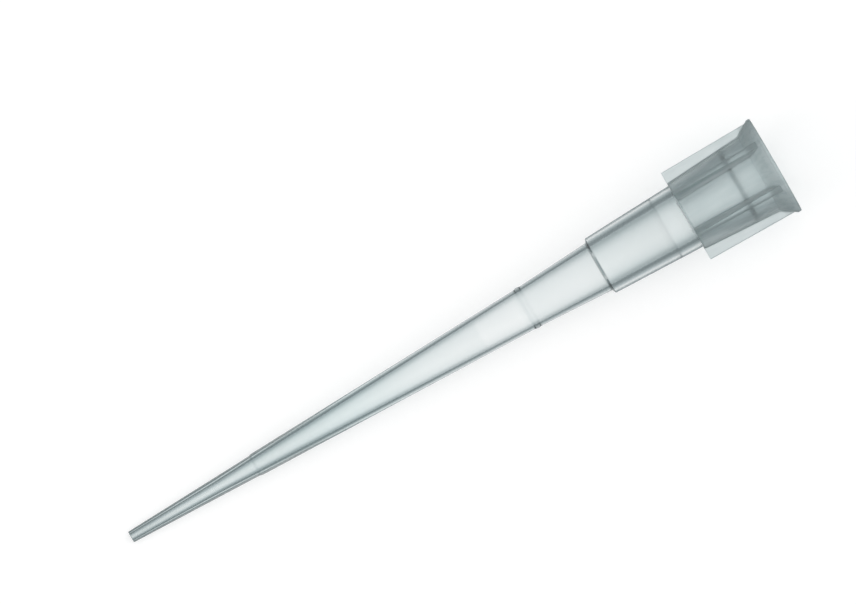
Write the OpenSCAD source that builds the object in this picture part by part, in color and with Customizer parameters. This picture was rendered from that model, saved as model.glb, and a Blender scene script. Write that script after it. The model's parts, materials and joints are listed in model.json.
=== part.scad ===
// Pipette tip for a 20 microlitre pipette: one clear moulding of polypropylene.
// A fine point and a slim shaft carry the liquid, a wider barrel leads up to a
// finned collar, and the collar's stepped socket takes the pipette's nozzle.
// The tip lies on its side, as it comes to rest: on the edges of its rim and its
// orifice, with the mouth towards +X.
// Stations run along the tip's own axis from the orifice, which is at 0.

/* [Length] */
// Length from the orifice to the mouth
tip_len = 39.2; // [34:0.1:48]
// Length of the fine point, up to the small step
point_len = 7.5; // [5:0.1:12]
// Length of the small step above the point
step_len = 0.12; // [0.05:0.01:0.4]
// Distance from the shoulder down to the middle of the graduation ring
mark_drop = 4.44; // [2:0.02:10]
// Length of the barrel, from the shoulder to the collar
barrel_len = 5.2; // [3:0.1:7]
// Length of the collar with its rim
collar_len = 5.46; // [4.6:0.02:7]

/* [Nozzle socket] */
// Bore at the wide end of the tapered seat, which grips the nozzle
seat_d = 3.26; // [2.7:0.02:4]
// Widening of the seat from its narrow end to its wide end
seat_taper = 0.7; // [0.4:0.02:1]
// Length of the tapered seat
seat_len = 3.06; // [2.4:0.02:3.7]
// Extra radius of the straight guide above the seat
guide_step = 0.13; // [0.05:0.01:0.25]
// Length of the sloping step between the seat and the guide
guide_step_len = 0.26; // [0.1:0.02:0.4]
// Depth of the flared mouth
mouth_depth = 1.03; // [0.8:0.01:1.2]
// Extra radius of the flared mouth at its opening
mouth_flare = 0.68; // [0.3:0.01:0.9]

/* [Bore] */
// Bore at the orifice
orifice_bore_d = 0.29; // [0.2:0.01:0.45]
// Bore at the end of its fine cone, where it begins to open faster
point_bore_d = 0.49; // [0.46:0.01:0.8]
// Length of the bore's fine cone from the orifice
point_bore_len = 5.3; // [3:0.1:7]
// Widening from the graduation ring to the shoulder
shaft_taper = 0.32; // [0.1:0.01:0.5]
// Widening from the shoulder to the small inner step in the barrel
barrel_taper = 0.2; // [0.1:0.01:0.4]
// Widening from the small inner step to the seat
chamber_taper = 0.02; // [0.01:0.01:0.2]
// Height of the small inner step in the barrel
chamber_step = 0.02; // [0.01:0.01:0.1]
// Distance from the collar's lower end down to the small inner step
chamber_drop = 1.26; // [0.6:0.02:2.4]

/* [Wall] */
// Wall at the orifice
orifice_wall = 0.175; // [0.1:0.005:0.25]
// Wall at the end of the fine point
point_wall = 0.26; // [0.18:0.005:0.35]
// Extra wall above the small step
step_wall = 0.045; // [0.02:0.005:0.1]
// Wall at the graduation ring
mark_wall = 0.19; // [0.15:0.005:0.35]
// Wall at the top of the shaft
shaft_wall = 0.28; // [0.2:0.01:0.4]
// Extra wall of the barrel over the shaft at the shoulder
shoulder_step = 0.22; // [0.1:0.01:0.4]
// Wall of the barrel where it meets the collar
barrel_wall = 0.57; // [0.4:0.01:0.7]
// Extra wall of the collar over the barrel at the collar's lower end
collar_step = 0.08; // [0.04:0.01:0.2]
// Wall of the collar around the guide
collar_wall = 0.44; // [0.3:0.01:0.6]

/* [Graduation ring] */
// Width of the raised ring
mark_w = 0.26; // [0.15:0.01:0.5]
// Height of the raised ring
mark_h = 0.045; // [0.02:0.005:0.1]

/* [Rim] */
// Wall of the rim around the flared mouth
rim_wall = 0.35; // [0.25:0.01:0.6]
// Length of the rim's outer land
lip_len = 0.26; // [0.2:0.01:0.4]
// Radius on the rim's outer edges
lip_r = 0.07; // [0.03:0.01:0.09]
// Radius on the orifice's outer edge
orifice_edge_r = 0.04; // [0.01:0.01:0.08]

/* [Fins] */
// Number of fins around the collar
fin_count = 6; // [3:1:12]
// Thickness of a fin
fin_t = 0.26; // [0.15:0.01:0.5]
// Distance from the rim's edge in to the top of a fin
fin_setback = 0.115; // [0.08:0.005:0.3]
// Draft of a fin's outer edge
fin_draft = 0.6; // [0:0.1:1]
// Depth of a fin's foot in the collar's wall
fin_foot = 0.15; // [0.05:0.01:0.25]

/* [Hidden] */
$fn = 96;
plastic = [0.90, 0.94, 0.94, 0.55];
cut = 1;

// Stations on the axis
collar_z = tip_len - collar_len;
shoulder_z = collar_z - barrel_len;
shoulder_lean = 0.08;
mark_z = shoulder_z - mark_drop;
chamber_z = collar_z - chamber_drop;
seat_z = collar_z + seat_len;
guide_z = seat_z + guide_step_len;
mouth_z = tip_len - mouth_depth;

// Radii of the bore, which only ever widens towards the mouth
mouth_r = seat_d / 2 + guide_step + mouth_flare;
guide_r = seat_d / 2 + guide_step;
seat_r = seat_d / 2;
seat_low_r = seat_r - seat_taper / 2;
chamber_top_r = seat_low_r - chamber_taper / 2;
chamber_low_r = chamber_top_r - chamber_step;
shoulder_bore_r = chamber_low_r - barrel_taper / 2;
mark_bore_r = shoulder_bore_r - shaft_taper / 2;
point_bore_r = point_bore_d / 2;
orifice_bore_r = orifice_bore_d / 2;

// Bore inside the small outer step, on the cone between the fine point and the ring
step_bore_r = point_bore_r + (mark_bore_r - point_bore_r) * (point_len - point_bore_len)
    / (mark_z - point_bore_len);

// Outer radii, each the bore with its wall
orifice_r = orifice_bore_r + orifice_wall;
point_r = step_bore_r + point_wall;
step_r = point_r + step_wall;
mark_r = mark_bore_r + mark_wall;
shaft_r = shoulder_bore_r + shaft_wall;
shoulder_r = shoulder_bore_r + shaft_wall + shoulder_step;
barrel_r = seat_low_r + barrel_wall;
collar_r = barrel_r + collar_step;
collar_top_r = guide_r + collar_wall;
rim_r = mouth_r + rim_wall;

// The fins end inside the rim, and their outer edges draw in towards the collar's lower end
fin_top_z = tip_len - lip_len / 2;
fin_top_r = rim_r - fin_setback;
fin_r = fin_top_r - (fin_top_z - collar_z) * tan(fin_draft);

// The rim's underside is a cone from the top of the collar to the lip
lip_low_z = tip_len - lip_len + lip_r;
lip_core_r = rim_r - lip_r;
flare_tilt = flare_angle(mouth_z);
lip_tangent = [lip_core_r + lip_r * cos(flare_tilt), lip_low_z - lip_r * sin(flare_tilt)];

// The graduation ring is the cap of a circle with this radius
mark_cap_r = (pow(mark_w / 2, 2) + pow(mark_h, 2)) / (2 * mark_h);

// Resting pose: the line from the orifice's round to the rim's, or to the lowest fins if they are lower
orifice_core_r = orifice_r - orifice_edge_r;
fin_gap = 180 / fin_count;
fin_low_r = fin_r * cos(fin_gap) + fin_t / 2 * sin(fin_gap);
rest_tilt = max(rest_angle(lip_low_z, lip_core_r, lip_r), rest_angle(collar_z, fin_low_r, 0));
rest_lift = orifice_core_r * cos(rest_tilt) + orifice_edge_r - orifice_edge_r * sin(rest_tilt);
rest_low_x = orifice_edge_r * cos(rest_tilt) - orifice_core_r * sin(rest_tilt) - orifice_edge_r;
rest_high_x = (tip_len - lip_r) * cos(rest_tilt) + lip_core_r * sin(rest_tilt) + lip_r;

// Slope of the cone that leaves the collar's top at z0 and is tangent to the lip's lower round
function flare_angle(z0) =
    let (run = lip_low_z - z0, rise = lip_core_r - collar_top_r)
    atan(rise / run) + asin(lip_r / norm([run, rise]));

// Slope of the line that touches the orifice's round and a round of radius r about [x, z]
function rest_angle(z, x, r) =
    let (run = z - orifice_edge_r, rise = x - orifice_core_r)
    atan(rise / run) + asin((r - orifice_edge_r) / norm([run, rise]));

// A round edge: a circle inside the corner of a section
module round_edge(r, z, edge_r) {
    translate([r, z])
        circle(r = edge_r);
}

// Half section of the outside, filled to the axis, without the fins
module outer_section() {
    polygon([
        [0, 0],
        [orifice_core_r, 0],
        [orifice_r, orifice_edge_r],
        [point_r, point_len],
        [step_r, point_len + step_len],
        [mark_r, mark_z],
        [shaft_r, shoulder_z - shoulder_lean],
        [shoulder_r, shoulder_z],
        [barrel_r, collar_z],
        [collar_r, collar_z],
        [collar_top_r, mouth_z],
        lip_tangent,
        [rim_r, lip_low_z],
        [rim_r, tip_len - lip_r],
        [lip_core_r, tip_len],
        [0, tip_len],
    ]);
    round_edge(orifice_core_r, orifice_edge_r, orifice_edge_r);
    round_edge(lip_core_r, lip_low_z, lip_r);
    round_edge(lip_core_r, tip_len - lip_r, lip_r);
    intersection() {
        round_edge(mark_r + mark_h - mark_cap_r, mark_z, mark_cap_r);
        translate([mark_r - mark_h, mark_z - mark_w])
            square([2 * mark_h, 2 * mark_w]);
    }
}

// Half section of the bore, open at both ends
module bore_section() {
    polygon([
        [0, -cut],
        [orifice_bore_r, -cut],
        [orifice_bore_r, 0],
        [point_bore_r, point_bore_len],
        [mark_bore_r, mark_z],
        [shoulder_bore_r, shoulder_z],
        [chamber_low_r, chamber_z],
        [chamber_top_r, chamber_z + chamber_step],
        [seat_low_r, collar_z],
        [seat_r, seat_z],
        [guide_r, guide_z],
        [guide_r, mouth_z],
        [mouth_r, tip_len],
        [mouth_r, tip_len + cut],
        [0, tip_len + cut],
    ]);
}

// One fin: a flat plate that stands on the collar and runs up into the rim
module fin() {
    rotate([90, 0, 0])
        linear_extrude(height = fin_t, center = true)
            polygon([
                [collar_r - fin_foot, collar_z],
                [fin_r, collar_z],
                [fin_top_r, fin_top_z],
                [collar_top_r - fin_foot, fin_top_z],
            ]);
}

// Fins evenly spaced, with a gap between two of them on the lowest line
module fins() {
    for (i = [0 : fin_count - 1])
        rotate([0, 0, (i + 0.5) * 360 / fin_count])
            fin();
}

// Lays a tip that stands on its orifice down on the edges of its orifice and its rim
module at_rest() {
    translate([-(rest_low_x + rest_high_x) / 2, 0, rest_lift])
        rotate([0, 90 - rest_tilt, 0])
            children();
}

module pipette_tip() {
    color(plastic)
        at_rest()
            difference() {
                union() {
                    rotate_extrude()
                        outer_section();
                    fins();
                }
                rotate_extrude()
                    bore_section();
            }
}

pipette_tip();
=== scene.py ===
"""A clear polypropylene pipette tip, lying on a pale surface on the edges of its rim and its orifice."""

import json
from math import asin, atan, atan2, cos, hypot, pi, radians, sin, sqrt, tan

import bmesh
import bpy
from mathutils import Matrix, Vector


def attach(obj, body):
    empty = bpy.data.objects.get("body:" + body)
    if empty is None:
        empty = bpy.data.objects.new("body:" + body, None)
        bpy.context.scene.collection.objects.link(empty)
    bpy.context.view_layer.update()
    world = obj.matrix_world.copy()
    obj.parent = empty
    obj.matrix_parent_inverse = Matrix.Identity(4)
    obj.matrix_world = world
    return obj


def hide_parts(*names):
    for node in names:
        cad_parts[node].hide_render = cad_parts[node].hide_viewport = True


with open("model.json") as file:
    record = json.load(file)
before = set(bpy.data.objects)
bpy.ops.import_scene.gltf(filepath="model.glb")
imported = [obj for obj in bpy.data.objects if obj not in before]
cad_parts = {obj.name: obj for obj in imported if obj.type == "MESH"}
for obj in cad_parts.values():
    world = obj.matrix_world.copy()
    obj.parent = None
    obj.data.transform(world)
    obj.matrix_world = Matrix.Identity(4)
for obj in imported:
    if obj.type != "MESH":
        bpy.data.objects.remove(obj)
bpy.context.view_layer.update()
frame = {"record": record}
MM = 0.001

# ---------------------------------------------------------------- sizes of the moulding, in mm
# Stations, whose names end in _Z, run along the tip's own axis from the orifice.
TIP_LEN = 39.2
POINT_LEN = 7.5
STEP_LEN = 0.12
MARK_Z = 24.1
COLLAR_Z = TIP_LEN - 5.46
SHOULDER_Z = COLLAR_Z - 5.2
SHOULDER_LEAN = 0.1
CHAMBER_Z = COLLAR_Z - 1.26
SEAT_Z = COLLAR_Z + 3.06
GUIDE_Z = SEAT_Z + 0.26
MOUTH_Z = TIP_LEN - 1.03

# Radii of the bore
ORIFICE_BORE_R = 0.145
POINT_BORE_R = 0.245
POINT_BORE_LEN = 5.3
MARK_BORE_R = 0.99
SHOULDER_BORE_R = 1.15
CHAMBER_BORE_R = 1.25
CHAMBER_STEP = 0.02
CHAMBER_STEP_LEN = 0.07
SEAT_LOW_R = 1.28
SEAT_R = 1.63
GUIDE_R = SEAT_R + 0.13
MOUTH_R = GUIDE_R + 0.68
MOUTH_LAND = 0.15  # almost straight stretch of the bore inside the mouth's edge
MOUTH_LAND_TAPER = 0.015

# Radii of the outside
ORIFICE_R = ORIFICE_BORE_R + 0.175
POINT_R = 0.592
STEP_R = POINT_R + 0.045
MARK_R = MARK_BORE_R + 0.19
SHAFT_R = SHOULDER_BORE_R + 0.28
SHOULDER_R = SHAFT_R + 0.22
BARREL_R = SEAT_LOW_R + 0.57
COLLAR_R = BARREL_R + 0.08
COLLAR_TOP_R = GUIDE_R + 0.44
RIM_R = 2.79
LIP_LEN = 0.26
LIP_R = 0.07
ORIFICE_EDGE_R = 0.04

# The graduation ring is a soft swell
MARK_W = 0.42
MARK_H = 0.045

# The collar's lower end: a small ledge, then a short slope
FOOT_LEN = 0.065
FOOT_LEDGE = 0.01

# Fins, whose outer edges and sides have the mould's draft
FIN_COUNT = 6
FIN_T = 0.26
FIN_SETBACK = 0.115
FIN_DRAFT = radians(0.6)
FIN_SIDE_DRAFT = radians(0.9)
FIN_R = RIM_R - FIN_SETBACK - (TIP_LEN - LIP_LEN / 2 - COLLAR_Z) * tan(FIN_DRAFT)
FIN_EDGE_R = 0.045
FIN_ROOT_R = 0.1
FIN_END_R = 0.015

# ---------------------------------------------------------------- fineness of the mesh
ROUND_STEPS = 5
SWELL_STEPS = 16
CORNER_STEPS = 4
GAP_STEPS = 12
FIN_POINTS = 2 * (CORNER_STEPS + 1) + 6  # on half a fin, with its two rounds
HALF_POINTS = FIN_POINTS + GAP_STEPS + 1
SECTOR = 2 * pi / FIN_COUNT

# Longest stretch between two rings, in mm
SHAFT_STRETCH = 0.9
COLLAR_STRETCH = 0.35
FLARE_STRETCH = 0.09
BORE_STRETCH = 0.5

HOLD = 0.012  # short piece beside a bend that keeps the shading flat up to the bend
HOLD_ROOM = 5  # a stretch shorter than this many such pieces has none
HOLD_SHARE = 0.05  # most of a fin's height that such a piece takes
ROUND_SHARE = 0.4  # most of a fin's height that a round takes
ALMOST_HALF = 0.49  # most of a side that the round on its corner takes
SAME_POINT = 2e-7  # points closer than this, in metres, are one
NO_LENGTH = 1e-8
SHARP_ANGLE = radians(32)

# ---------------------------------------------------------------- the tip's own frame
mounts = {mount["name"]: mount for mount in frame["record"]["mounts"]}
orifice_at = Vector(mounts["orifice"]["pos_m"])
along = Vector(mounts["rim_face"]["axis"]).normalized()
across = Vector((0.0, 1.0, 0.0))
down = across.cross(along)
tip_frame = Matrix.Translation(orifice_at) @ Matrix((down, across, along)).transposed().to_4x4()


# ---------------------------------------------------------------- half sections
def rounded(corners):
    """Points (z, r) of an outline whose corners (z, r, edge radius) are rounded by arcs."""
    points = []
    for i, (z, r, edge_r) in enumerate(corners):
        if edge_r == 0 or i in (0, len(corners) - 1):
            points.append((z, r))
            continue
        here = Vector((z, r))
        back = Vector(corners[i - 1][:2]) - here
        on = Vector(corners[i + 1][:2]) - here
        half = back.angle(on) / 2
        reach = min(edge_r / tan(half), ALMOST_HALF * back.length, ALMOST_HALF * on.length)
        start = here + back.normalized() * reach
        end = here + on.normalized() * reach
        centre = here + (back.normalized() + on.normalized()).normalized() * reach / cos(half)
        first = start - centre
        last = end - centre
        turn = first.angle(last)
        for k in range(ROUND_STEPS + 1):
            a = turn * k / ROUND_STEPS
            arm = (first * sin(turn - a) + last * sin(a)) / sin(turn)
            points.append(tuple(centre + arm))
    return points


def split_long(points, longest, flare_longest=None):
    """The same outline with every stretch cut into pieces no longer than longest, or than flare_longest above
    the mouth's start, and with a short piece held close to each bend."""
    out = [points[0]]
    for (z0, r0), (z1, r1) in zip(points, points[1:]):
        length = hypot(z1 - z0, r1 - r0)
        limit = flare_longest if flare_longest and z0 > MOUTH_Z else longest
        pieces = max(1, round(length / limit))
        cuts = {k / pieces for k in range(1, pieces + 1)}
        if length > HOLD_ROOM * HOLD:
            cuts |= {HOLD / length, 1 - HOLD / length}
        out += [(z0 + (z1 - z0) * cut, r0 + (r1 - r0) * cut) for cut in sorted(cuts)]
    return out


def lip_corner():
    """The station where the cone under the rim would meet the lip's outer land."""
    low_z = TIP_LEN - LIP_LEN + LIP_R
    core_r = RIM_R - LIP_R
    run = low_z - MOUTH_Z
    rise = core_r - COLLAR_TOP_R
    tilt = atan(rise / run) + asin(LIP_R / hypot(run, rise))
    return low_z - LIP_R * sin(tilt) + (LIP_R - LIP_R * cos(tilt)) / tan(tilt)


def mark_swell(below_slope, above_slope):
    """The graduation ring's soft swell, on the slopes of the shaft below and above it."""
    swell = []
    for k in range(SWELL_STEPS + 1):
        off = MARK_W * (k / SWELL_STEPS - 0.5)
        slope = below_slope if off < 0 else above_slope
        height = MARK_H * (0.5 + 0.5 * cos(2 * pi * off / MARK_W))
        swell.append((MARK_Z + off, MARK_R + slope * off + height, 0))
    return swell


def shaft_section():
    """Outside of the point, the shaft and the barrel, from the orifice to the collar."""
    foot_z = SHOULDER_Z - SHOULDER_LEAN
    below_slope = (MARK_R - STEP_R) / (MARK_Z - POINT_LEN - STEP_LEN)
    above_slope = (SHAFT_R - MARK_R) / (foot_z - MARK_Z)
    return rounded([
        (0.0, ORIFICE_BORE_R, 0),
        (0.0, ORIFICE_R, ORIFICE_EDGE_R),
        (POINT_LEN, POINT_R, 0.05),
        (POINT_LEN + STEP_LEN, STEP_R, 0.05),
        *mark_swell(below_slope, above_slope),
        (foot_z, SHAFT_R, 0.04),
        (SHOULDER_Z, SHOULDER_R, 0.03),
        (COLLAR_Z, BARREL_R, 0),
    ])


def collar_section():
    """Outside of the collar between its fins, up to the lip and over to the mouth's inner edge."""
    return rounded([
        (COLLAR_Z, BARREL_R + FOOT_LEDGE, 0),
        (COLLAR_Z + FOOT_LEN, COLLAR_R, 0.02),
        (MOUTH_Z, COLLAR_TOP_R, 0.04),
        (lip_corner(), RIM_R, LIP_R),
        (TIP_LEN, RIM_R, LIP_R),
        (TIP_LEN, MOUTH_R, 0),
    ])


def bore_section():
    """The bore from the mouth's inner edge down to the orifice."""
    return rounded([
        (TIP_LEN, MOUTH_R, 0),
        (TIP_LEN - MOUTH_LAND, MOUTH_R - MOUTH_LAND_TAPER, 0.06),
        (MOUTH_Z, GUIDE_R, 0.02),
        (GUIDE_Z, GUIDE_R, 0.08),
        (SEAT_Z, SEAT_R, 0.08),
        (COLLAR_Z, SEAT_LOW_R, 0.1),
        (CHAMBER_Z + CHAMBER_STEP_LEN, CHAMBER_BORE_R + CHAMBER_STEP, 0.05),
        (CHAMBER_Z, CHAMBER_BORE_R, 0.05),
        (SHOULDER_Z, SHOULDER_BORE_R, 0),
        (MARK_Z, MARK_BORE_R, 0),
        (POINT_BORE_LEN, POINT_BORE_R, 0),
        (0.0, ORIFICE_BORE_R, 0),
    ])


# ---------------------------------------------------------------- rings around the axis
def on_ring(ring_r, turns):
    """Points (radial, sideways) on a ring at the given angles from a fin's middle."""
    return [(ring_r * cos(a), ring_r * sin(a)) for a in turns]


def arc(centre, radius, start, sweep):
    """Points of a round about a centre, from the angle start through the angle sweep."""
    turns = [start + sweep * k / CORNER_STEPS for k in range(CORNER_STEPS + 1)]
    return [(centre[0] + x, centre[1] + y) for x, y in on_ring(radius, turns)]


def plain_half(ring_r):
    """Points spread evenly over half a sector of a plain round ring."""
    return on_ring(ring_r, [SECTOR / 2 * k / (HALF_POINTS - 1) for k in range(HALF_POINTS)])


def fin_half(ring_r, fin_r, half_t):
    """Points from a fin's middle, down its side and root and on to the middle of the gap beside it. Where the
    fin stands no higher than the ring, the same points lie on the ring."""
    height = max(fin_r - ring_r, 0.0)
    edge_r = min(FIN_EDGE_R, ROUND_SHARE * height)
    root_r = min(FIN_ROOT_R, ROUND_SHARE * height)
    hold = min(HOLD, HOLD_SHARE * height)
    root_x = sqrt((ring_r + root_r) ** 2 - (half_t + root_r) ** 2)
    root_angle = atan2(half_t + root_r, root_x)
    if height > 0:
        edge_x = fin_r - edge_r
        points = [(fin_r, 0.0), (fin_r, 0.5 * half_t), (fin_r, half_t - edge_r - hold)]
        points += arc((edge_x, half_t - edge_r), edge_r, 0.0, pi / 2)
        points += [(edge_x - hold, half_t), ((edge_x + root_x) / 2, half_t), (root_x + hold, half_t)]
        points += arc((root_x, half_t + root_r), root_r, -pi / 2, root_angle - pi / 2)
    else:
        points = on_ring(ring_r, [root_angle * k / (FIN_POINTS - 1) for k in range(FIN_POINTS)])
    start = root_angle + hold / ring_r
    gap = [start + (SECTOR / 2 - start) * k / GAP_STEPS for k in range(GAP_STEPS + 1)]
    return points + on_ring(ring_r, gap)


def ring(z, half):
    """One closed ring of points at a station: the half sector and its mirror image, once for every fin."""
    mirrored = [(x, -y) for x, y in reversed(half[1:-1])]
    points = []
    for k in range(FIN_COUNT):
        middle = pi / 2 + k * SECTOR
        for x, y in mirrored + half:
            points.append(Vector((
                x * cos(middle) - y * sin(middle),
                x * sin(middle) + y * cos(middle),
                z,
            )))
    return points


def fin_edge(z):
    """Radius of a fin's outer edge at a station."""
    return FIN_R + (z - COLLAR_Z) * tan(FIN_DRAFT)


def fin_side(z):
    """Half a fin's thickness at a station."""
    return FIN_T / 2 + (z - COLLAR_Z) * tan(FIN_SIDE_DRAFT)


POLISHED, SATIN, BORE = range(3)


def tip_rings():
    """Every ring of the moulding in order, up the outside and back down the bore, each with its surface."""
    rings = [(ring(z, plain_half(r)), POLISHED) for z, r in split_long(shaft_section(), SHAFT_STRETCH)]
    foot_slope = (COLLAR_R - BARREL_R - FOOT_LEDGE) / FOOT_LEN
    for k in range(CORNER_STEPS + 1):
        a = pi / 2 * k / CORNER_STEPS
        z = COLLAR_Z + FIN_END_R * (1 - cos(a))
        inset = FIN_END_R * (1 - sin(a))
        foot_r = BARREL_R + FOOT_LEDGE + foot_slope * (z - COLLAR_Z)
        rings.append((ring(z, fin_half(foot_r, fin_edge(z) - inset, fin_side(z) - inset)), SATIN))
    for z, r in split_long(collar_section(), COLLAR_STRETCH, FLARE_STRETCH)[1:]:
        if z > COLLAR_Z + FIN_END_R:
            rings.append((ring(z, fin_half(r, fin_edge(z), fin_side(z))), SATIN))
    for z, r in split_long(bore_section(), BORE_STRETCH)[1:-1]:
        rings.append((ring(z, plain_half(r)), SATIN if z > MOUTH_Z else BORE))
    return rings


def build_tip():
    """The whole moulding as one closed mesh."""
    bm = bmesh.new()
    rings = tip_rings()
    loops = [[bm.verts.new(p * MM) for p in points] for points, _ in rings]
    count = len(loops[0])
    for i, here in enumerate(loops):
        after = loops[(i + 1) % len(loops)]
        after_surface = rings[(i + 1) % len(rings)][1]
        for j in range(count):
            k = (j + 1) % count
            face = bm.faces.new((here[j], here[k], after[k], after[j]))
            face.material_index = after_surface
            face.smooth = True
    bmesh.ops.remove_doubles(bm, verts=bm.verts, dist=SAME_POINT)
    bmesh.ops.dissolve_degenerate(bm, edges=bm.edges, dist=NO_LENGTH)
    bmesh.ops.recalc_face_normals(bm, faces=bm.faces)
    bm.transform(tip_frame)
    mesh = bpy.data.meshes.new("clear_tip")
    bm.to_mesh(mesh)
    bm.free()
    mesh.set_sharp_from_angle(angle=SHARP_ANGLE)
    piece = bpy.data.objects.new("clear_tip", mesh)
    bpy.context.scene.collection.objects.link(piece)
    return piece


# ---------------------------------------------------------------- nodes
def feed(links, socket, value):
    """Joins a socket to another one, or sets it to a plain value."""
    if isinstance(value, bpy.types.NodeSocket):
        links.new(value, socket)
    else:
        socket.default_value = value


def new_material(name):
    material = bpy.data.materials.new(name)
    material.use_nodes = True
    nodes = material.node_tree.nodes
    nodes.clear()
    return material, nodes, material.node_tree.links


def new_group(name, inputs, outputs):
    """An empty shader node group with named sockets, and its first and last node."""
    tree = bpy.data.node_groups.new(name, "ShaderNodeTree")
    for label, kind, value in inputs:
        made = tree.interface.new_socket(name=label, in_out="INPUT", socket_type=kind)
        made.default_value = value
    for label, kind in outputs:
        tree.interface.new_socket(name=label, in_out="OUTPUT", socket_type=kind)
    return tree, tree.nodes.new("NodeGroupInput"), tree.nodes.new("NodeGroupOutput")


def place_group(nodes, links, tree, values):
    """The outputs of a node of a group, which is fed by sockets or plain values."""
    node = nodes.new("ShaderNodeGroup")
    node.node_tree = tree
    for label, value in values.items():
        feed(links, node.inputs[label], value)
    return node.outputs


def maths(nodes, links, operation, *operands):
    node = nodes.new("ShaderNodeMath")
    node.operation = operation
    for socket, operand in zip(node.inputs, operands):
        feed(links, socket, operand)
    return node.outputs[0]


def vector_maths(nodes, links, operation, *operands):
    node = nodes.new("ShaderNodeVectorMath")
    node.operation = operation
    for socket, operand in zip(node.inputs, operands):
        feed(links, socket, operand)
    return node.outputs["Value" if operation == "DOT_PRODUCT" else "Vector"]


def mixed_color(nodes, links, share, first, second, blend="MIX"):
    node = nodes.new("ShaderNodeMix")
    node.data_type = "RGBA"
    node.blend_type = blend
    feed(links, node.inputs["Factor"], share)
    feed(links, node.inputs["A"], first)
    feed(links, node.inputs["B"], second)
    return node.outputs["Result"]


def mixed_shader(nodes, links, share, first, second):
    node = nodes.new("ShaderNodeMixShader")
    links.new(share, node.inputs["Fac"])
    links.new(first, node.inputs[1])
    links.new(second, node.inputs[2])
    return node.outputs[0]


def color_ramp(nodes, links, share, stops):
    """Colours by a share from 0 to 1."""
    ramp = nodes.new("ShaderNodeValToRGB")
    elements = ramp.color_ramp.elements
    while len(elements) < len(stops):
        elements.new(0.5)
    for element, (position, color) in zip(elements, stops):
        element.position = position
        element.color = (*color, 1)
    links.new(share, ramp.inputs["Fac"])
    return ramp.outputs["Color"]


def level_ramp(nodes, links, share, stops, span=1.0):
    """Plain levels by a share from 0 to 1, with their stops given on a scale from 0 to span."""
    return color_ramp(nodes, links, share, [(at / span, (level,) * 3) for at, level in stops])


def noise(nodes, links, place, size, detail):
    """A soft pattern with spots of about the given size in mm."""
    node = nodes.new("ShaderNodeTexNoise")
    node.inputs["Scale"].default_value = 1 / (size * MM)
    node.inputs["Detail"].default_value = detail
    links.new(place, node.inputs["Vector"])
    return node.outputs["Fac"]


def drawn_out(nodes, links, place, share):
    """Places squeezed lengthwise to a share, so that a pattern on them is drawn out along the tip."""
    node = nodes.new("ShaderNodeMapping")
    node.inputs["Scale"].default_value = (share, 1.0, 1.0)
    links.new(place, node.inputs["Vector"])
    return node.outputs["Vector"]


# ---------------------------------------------------------------- effects that the materials share
def station_group():
    """Where a point lies along the tip: 0 at the orifice and 1 at the mouth."""
    tree, _, last = new_group("station along the tip", [], [("Station", "NodeSocketFloat")])
    nodes, links = tree.nodes, tree.links
    place = nodes.new("ShaderNodeTexCoord").outputs["Object"]
    offset = vector_maths(nodes, links, "SUBTRACT", place, orifice_at)
    distance = vector_maths(nodes, links, "DOT_PRODUCT", offset, along)
    links.new(maths(nodes, links, "DIVIDE", distance, TIP_LEN * MM), last.inputs["Station"])
    return tree


def skin_group():
    """The skin that the mould leaves: a fine grain, with softer and glossier patches, and faint lines that
    run along the tip where the mould's steel was polished."""
    tree, first, last = new_group(
        "moulded skin",
        [("Roughness", "NodeSocketFloat", 0.1), ("Patchiness", "NodeSocketFloat", 0.02),
         ("Grain", "NodeSocketFloat", 1.0), ("Polish Lines", "NodeSocketFloat", 1.0)],
        [("Roughness", "NodeSocketFloat"), ("Height", "NodeSocketFloat")],
    )
    nodes, links = tree.nodes, tree.links
    place = nodes.new("ShaderNodeTexCoord").outputs["Object"]
    grain = noise(nodes, links, place, size=0.12, detail=3.0)
    patches = noise(nodes, links, place, size=0.9, detail=2.0)
    drawn = drawn_out(nodes, links, place, share=0.02)
    lines = noise(nodes, links, drawn, size=0.07, detail=1.0)
    uneven = maths(nodes, links, "SUBTRACT", patches, 0.5)
    spread = maths(nodes, links, "MULTIPLY", uneven, first.outputs["Patchiness"])
    links.new(maths(nodes, links, "ADD", spread, first.outputs["Roughness"]), last.inputs["Roughness"])
    grainy = maths(nodes, links, "MULTIPLY", grain, first.outputs["Grain"])
    lined = maths(nodes, links, "MULTIPLY", lines, first.outputs["Polish Lines"])
    links.new(maths(nodes, links, "ADD", grainy, lined), last.inputs["Height"])
    return tree


def tint_group():
    """Clear plastic's faint cloudiness: the tint moves a little towards a deeper one in soft drifts, and in
    streaks along the tip where the plastic flowed into the mould. Where a material raises the streakiness
    towards grazing view, the streaks paint shade there as well."""
    tree, first, last = new_group(
        "cloudy tint",
        [("Tint", "NodeSocketColor", (1, 1, 1, 1)), ("Deep Tint", "NodeSocketColor", (0.9, 0.9, 0.9, 1)),
         ("Cloudiness", "NodeSocketFloat", 0.3), ("Streakiness", "NodeSocketFloat", 0.0)],
        [("Color", "NodeSocketColor")],
    )
    nodes, links = tree.nodes, tree.links
    place = nodes.new("ShaderNodeTexCoord").outputs["Object"]
    drifts = noise(nodes, links, place, size=1.6, detail=3.0)
    drawn = drawn_out(nodes, links, place, share=0.1)
    flow = noise(nodes, links, drawn, size=0.26, detail=2.0)
    streaks = maths(nodes, links, "SUBTRACT", flow, 0.5)
    cloud = maths(nodes, links, "MULTIPLY", drifts, first.outputs["Cloudiness"])
    streak = maths(nodes, links, "MULTIPLY", streaks, first.outputs["Streakiness"])
    share = maths(nodes, links, "ADD", cloud, streak)
    blend = mixed_color(nodes, links, share, first.outputs["Tint"], first.outputs["Deep Tint"])
    links.new(blend, last.inputs["Color"])
    return tree


STATION = station_group()
SKIN = skin_group()
CLOUDY = tint_group()

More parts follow.
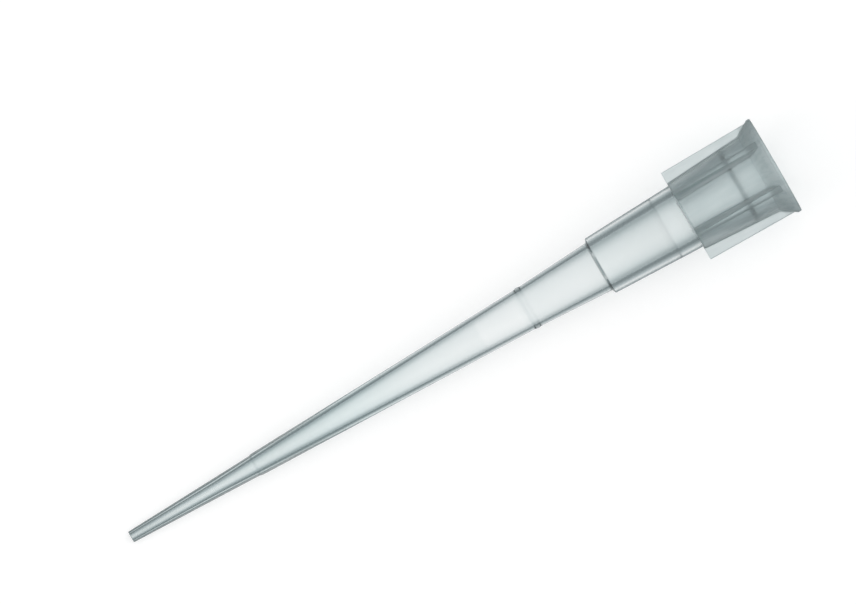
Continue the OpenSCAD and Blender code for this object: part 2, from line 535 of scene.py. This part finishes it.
# ---------------------------------------------------------------- materials
POLYPROPYLENE_IOR = 1.49
BUMP_HEIGHT = 0.001 * MM
SHADOW_TINT = (0.93, 0.94, 0.94, 1)
WHITE = (1, 1, 1, 1)


def clear_plastic(name, tint, deep_tint, cloudiness, streakiness, roughness, patchiness, grain,
                  polish_lines, zones, edge=None):
    """Clear polypropylene, through which the lamps shine with a small loss.

    The tint is multiplied by the zones' colours, painted shade given by station in mm. Roughness is one
    value, or levels by station. An edge holds the levels of painted shade towards grazing view, how far they
    count by station, and how much stronger the streaks become towards grazing view, which paints more shade
    there.
    """
    material, nodes, links = new_material(name)
    station = place_group(nodes, links, STATION, {})["Station"]
    # Painted shade: towards grazing view the streaks grow stronger and the tint darker.
    if edge:
        shade_levels, shade_reach, grazing_streak_shade = edge
        facing = nodes.new("ShaderNodeLayerWeight").outputs["Facing"]
        more = maths(nodes, links, "MULTIPLY", facing, grazing_streak_shade)
        streakiness = maths(nodes, links, "ADD", more, streakiness)
    cloudy = place_group(nodes, links, CLOUDY, {
        "Tint": tint, "Deep Tint": deep_tint, "Cloudiness": cloudiness, "Streakiness": streakiness})
    # Painted shade by station: the zones darken the tint towards the orifice, in lines at the steps and over
    # the flare.
    painted_station_shade = color_ramp(nodes, links, station, [(z / TIP_LEN, color) for z, color in zones])
    color = mixed_color(nodes, links, 1.0, cloudy["Color"], painted_station_shade, "MULTIPLY")
    # Painted shade towards grazing view, where the station lets it count.
    if edge:
        shade_by_facing = level_ramp(nodes, links, facing, shade_levels)
        reach = level_ramp(nodes, links, station, shade_reach, TIP_LEN)
        painted_grazing_shade = mixed_color(nodes, links, reach, WHITE, shade_by_facing)
        color = mixed_color(nodes, links, 1.0, color, painted_grazing_shade, "MULTIPLY")
    if isinstance(roughness, list):
        roughness = level_ramp(nodes, links, station, roughness, TIP_LEN)
    skin = place_group(nodes, links, SKIN, {
        "Roughness": roughness, "Patchiness": patchiness, "Grain": grain, "Polish Lines": polish_lines})
    bump = nodes.new("ShaderNodeBump")
    bump.inputs["Distance"].default_value = BUMP_HEIGHT
    links.new(skin["Height"], bump.inputs["Height"])

    shader = nodes.new("ShaderNodeBsdfPrincipled")
    shader.inputs["IOR"].default_value = POLYPROPYLENE_IOR
    shader.inputs["Transmission Weight"].default_value = 1.0
    links.new(color, shader.inputs["Base Color"])
    links.new(skin["Roughness"], shader.inputs["Roughness"])
    links.new(bump.outputs["Normal"], shader.inputs["Normal"])
    lit = nodes.new("ShaderNodeBsdfTransparent")
    lit.inputs["Color"].default_value = SHADOW_TINT
    shadow_ray = nodes.new("ShaderNodeLightPath").outputs["Is Shadow Ray"]
    out = nodes.new("ShaderNodeOutputMaterial")
    links.new(mixed_shader(nodes, links, shadow_ray, shader.outputs[0], lit.outputs[0]),
              out.inputs["Surface"])
    return material


def grey(level, cool):
    """A grey that lacks a little red."""
    return (level - cool, level, level)


# Painted shade by station, multiplied into the tint: darker towards the orifice, in the barrel, in lines at
# the steps and the collar's end, and over the flare. A band below the graduation ring is left without it and
# shows lighter.
SHAFT_PAINTED_SHADE = [
    (0.0, grey(0.735, 0.04)),
    (1.6, grey(0.76, 0.04)),
    (3.2, grey(0.835, 0.04)),
    (5.3, grey(0.855, 0.04)),
    (9.0, grey(0.855, 0.05)),
    (11.6, grey(0.89, 0.06)),
    (13.7, grey(0.92, 0.055)),
    (15.8, grey(0.94, 0.035)),
    (17.9, grey(0.965, 0.02)),
    (21.2, grey(0.965, 0.01)),
    (21.3, grey(1.0, 0.0)),
    (23.65, grey(1.0, 0.0)),
    (23.8, grey(0.965, 0.01)),
    (27.4, grey(0.955, 0.01)),
    (28.4, grey(0.932, 0.015)),
    (28.45, grey(0.8, 0.015)),
    (28.53, grey(0.82, 0.015)),
    (28.58, grey(0.985, 0.015)),
    (30.6, grey(0.941, 0.02)),
    (32.25, grey(0.91, 0.02)),
    (32.38, grey(0.846, 0.02)),
    (32.46, grey(0.846, 0.02)),
    (32.66, grey(0.941, 0.02)),
    (33.2, grey(0.941, 0.02)),
    (33.6, grey(0.883, 0.02)),
]
SOCKET_PAINTED_SHADE = [
    (33.7, grey(0.967, 0.033)),
    (36.8, grey(0.967, 0.033)),
    (37.1, grey(0.985, 0.033)),
    (37.9, grey(0.995, 0.033)),
    (38.1, grey(1.0, 0.033)),
    (38.26, grey(1.0, 0.033)),
    (38.35, grey(0.86, 0.033)),
    (38.94, grey(0.815, 0.033)),
    (39.06, grey(1.0, 0.02)),
]
BORE_PAINTED_SHADE = [
    (28.3, grey(1.0, 0.0)),
    (28.6, grey(0.94, 0.01)),
    (33.6, grey(0.94, 0.01)),
    (33.8, grey(0.98, 0.02)),
    (36.74, grey(0.98, 0.02)),
    (36.9, grey(0.58, 0.02)),
    (37.0, grey(0.55, 0.02)),
    (37.12, grey(0.98, 0.02)),
]

# Painted shade towards grazing view: levels by how far a surface turns from the view, how far they count by
# station, and the gain of the streaks, which paint shade there too
SHAFT_GRAZING_SHADE = (
    [(0.28, 1.0), (0.36, 0.75), (0.45, 0.42), (0.6, 0.25), (1.0, 0.25)],
    [(0.0, 1.0), (10.0, 1.0), (14.0, 0.0), (23.88, 0.0), (23.98, 0.6), (24.22, 0.6), (24.32, 0.0),
     (32.3, 0.0), (32.4, 0.35), (32.5, 0.35), (32.6, 0.0)],
    2.0,
)
SOCKET_GRAZING_SHADE = (
    [(0.06, 0.9), (0.2, 1.0), (0.4, 1.0), (0.55, 0.92), (0.7, 0.9), (0.9, 0.68), (1.0, 0.5)],
    [(38.2, 1.0), (38.3, 0.4), (38.96, 0.4), (39.06, 0.0)],
    20.0,
)

CLEAR_TINT = (0.985, 0.995, 0.995, 1)
CLEAR_CLOUD_AND_SHADE_TINT = (0.95, 0.975, 0.975, 1)
SATIN_TINT = (0.975, 1.0, 1.0, 1)
SATIN_CLOUD_AND_SHADE_TINT = (0.81, 0.86, 0.865, 1)

tip = build_tip()
tip.data.materials.append(clear_plastic(
    "polished polypropylene", CLEAR_TINT, CLEAR_CLOUD_AND_SHADE_TINT, cloudiness=0.5, streakiness=0.4,
    roughness=[(28.4, 0.09), (28.6, 0.13)], patchiness=0.03, grain=0.1, polish_lines=0.3,
    zones=SHAFT_PAINTED_SHADE, edge=SHAFT_GRAZING_SHADE))
tip.data.materials.append(clear_plastic(
    "satin polypropylene", SATIN_TINT, SATIN_CLOUD_AND_SHADE_TINT, cloudiness=0.5, streakiness=1.6,
    roughness=[(36.6, 0.42), (37.2, 0.5), (38.25, 0.5), (38.32, 0.54)], patchiness=0.16, grain=1.0,
    polish_lines=0.0,
    zones=SOCKET_PAINTED_SHADE, edge=SOCKET_GRAZING_SHADE))
tip.data.materials.append(clear_plastic(
    "bore polypropylene", CLEAR_TINT, CLEAR_CLOUD_AND_SHADE_TINT, cloudiness=0.5, streakiness=0.4,
    roughness=0.04, patchiness=0.02, grain=0.0, polish_lines=0.2,
    zones=BORE_PAINTED_SHADE))
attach(tip, "root")
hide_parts("pipette_tip")

# ---------------------------------------------------------------- floor and light
FLOOR_REACH = 3.0
FLOOR_COLOR = (0.9, 0.9, 0.9, 1)
FLOOR_GLOW = 0.21
ROOM_LIGHT = 0.55

# How far the studio's middle tones turn cool
COOL_RED_LOSS = 0.2
COOL_BLUE_GAIN = 0.05

# What the glass sees of the studio: levels by degrees from the direction square below the tip's axis
SEEN_DIRECTLY = [
    (0, 1.0), (8, 0.9), (16, 0.7), (24, 0.53), (32, 0.47), (40, 0.39), (46, 0.41), (55, 1.0), (92, 1.0),
    (102, 0.5), (180, 0.4),
]
SEEN_REFLECTED = [
    (0, 1.0), (8, 0.9), (16, 0.7), (24, 0.5), (32, 0.42), (40, 0.3), (48, 0.24), (56, 0.26), (66, 0.28),
    (80, 0.2), (92, 0.4), (180, 0.42),
]

LAMP_SIZE = 0.6
LAMPS = [
    ("key", (-0.9, 0.1, 0.7), 6),
    ("fill", (0.9, -0.1, 0.6), 3),
]


def white_floor():
    """A matt white floor with a little glow for the camera. Rays that a glossy surface or the glass sends on
    pass through it to the studio's light."""
    far = FLOOR_REACH
    mesh = bpy.data.meshes.new("floor")
    mesh.from_pydata([(-far, -far, 0), (far, -far, 0), (far, far, 0), (-far, far, 0)], [], [(0, 1, 2, 3)])
    floor = bpy.data.objects.new("floor", mesh)
    bpy.context.scene.collection.objects.link(floor)
    material, nodes, links = new_material("white surface")
    matt = nodes.new("ShaderNodeBsdfDiffuse")
    matt.inputs["Color"].default_value = FLOOR_COLOR
    glow = nodes.new("ShaderNodeEmission")
    glow.inputs["Color"].default_value = WHITE
    glow.inputs["Strength"].default_value = FLOOR_GLOW
    glowing = nodes.new("ShaderNodeAddShader")
    links.new(matt.outputs[0], glowing.inputs[0])
    links.new(glow.outputs[0], glowing.inputs[1])
    through = nodes.new("ShaderNodeBsdfTransparent")
    path = nodes.new("ShaderNodeLightPath").outputs
    seen = mixed_shader(nodes, links, path["Is Camera Ray"], matt.outputs[0], glowing.outputs[0])
    surface = mixed_shader(nodes, links, path["Is Glossy Ray"], seen, through.outputs[0])
    out = nodes.new("ShaderNodeOutputMaterial")
    links.new(surface, out.inputs["Surface"])
    mesh.materials.append(material)


def studio_grey(level):
    """The studio's grey, which turns slightly cool towards the middle tones."""
    middle = (1 - level) * level
    return (level - COOL_RED_LOSS * middle, level, level + COOL_BLUE_GAIN * middle)


def background(nodes, links, color, strength=1.0):
    node = nodes.new("ShaderNodeBackground")
    feed(links, node.inputs["Color"], color)
    node.inputs["Strength"].default_value = strength
    return node.outputs[0]


def studio_world():
    """White for the camera and even light for matt surfaces. The glass sees a white patch straight below the
    tip, which fades to grey all round and turns white again towards the horizon. What has been reflected on
    its way sees the grey go on up to the horizon and overhead."""
    world = bpy.data.worlds.new("studio")
    bpy.context.scene.world = world
    world.use_nodes = True
    nodes = world.node_tree.nodes
    links = world.node_tree.links
    nodes.clear()
    direction = nodes.new("ShaderNodeTexCoord").outputs["Generated"]
    lowness = vector_maths(nodes, links, "DOT_PRODUCT", direction, down)
    angle = maths(nodes, links, "ARCCOSINE", lowness)
    share = maths(nodes, links, "DIVIDE", angle, pi)
    direct, reflected = (
        color_ramp(nodes, links, share, [(degrees / 180, studio_grey(level)) for degrees, level in stops])
        for stops in (SEEN_DIRECTLY, SEEN_REFLECTED)
    )
    path = nodes.new("ShaderNodeLightPath").outputs
    turned = maths(nodes, links, "GREATER_THAN", path["Glossy Depth"], 0.5)
    studio = background(nodes, links, mixed_color(nodes, links, turned, direct, reflected))
    room = background(nodes, links, WHITE, ROOM_LIGHT)
    white = background(nodes, links, WHITE)
    through_glass = maths(nodes, links, "MAXIMUM", path["Is Glossy Ray"], path["Is Transmission Ray"])
    light = mixed_shader(nodes, links, through_glass, room, studio)
    out = nodes.new("ShaderNodeOutputWorld")
    links.new(mixed_shader(nodes, links, path["Is Camera Ray"], light, white), out.inputs["Surface"])


def lamp(name, place, watts):
    """A soft round lamp that faces the tip and doesn't show in the glass."""
    data = bpy.data.lights.new(name, "AREA")
    data.shape = "DISK"
    data.size = LAMP_SIZE
    data.energy = watts
    light = bpy.data.objects.new(name, data)
    light.location = Vector(place)
    light.rotation_euler = (-Vector(place)).to_track_quat("-Z", "Y").to_euler()
    light.visible_glossy = False
    light.visible_transmission = False
    bpy.context.scene.collection.objects.link(light)


# ---------------------------------------------------------------- camera
VIEW_DISTANCE = 1.5
VIEW_WIDTH = 45.07 * MM
VIEW_CLIMB = radians(30.04)
VIEW_TURN = radians(2.2)
AIM_ALONG = 19.73 * MM
AIM_BESIDE = 2.89 * MM
SENSOR_WIDTH = 36
CLIP_END = 10


def camera():
    """Looks square at the tip's axis, which climbs about 30 degrees from lower left to upper right, from a
    little to one side of straight above."""
    beside = Matrix.Rotation(VIEW_TURN, 3, along) @ across
    facing = along.cross(beside)
    aim = orifice_at + along * AIM_ALONG + beside * AIM_BESIDE
    right = along * cos(VIEW_CLIMB) - beside * sin(VIEW_CLIMB)
    up = along * sin(VIEW_CLIMB) + beside * cos(VIEW_CLIMB)
    data = bpy.data.cameras.new("camera")
    data.sensor_width = SENSOR_WIDTH
    data.lens = SENSOR_WIDTH * VIEW_DISTANCE / VIEW_WIDTH
    data.clip_end = CLIP_END
    view = bpy.data.objects.new("camera", data)
    turned = Matrix((right, up, facing)).transposed().to_4x4()
    view.matrix_world = Matrix.Translation(aim + facing * VIEW_DISTANCE) @ turned
    bpy.context.scene.collection.objects.link(view)
    bpy.context.scene.camera = view


white_floor()
studio_world()
for name, place, watts in LAMPS:
    lamp(name, place, watts)
camera()
bpy.context.scene.view_settings.view_transform = "Standard"
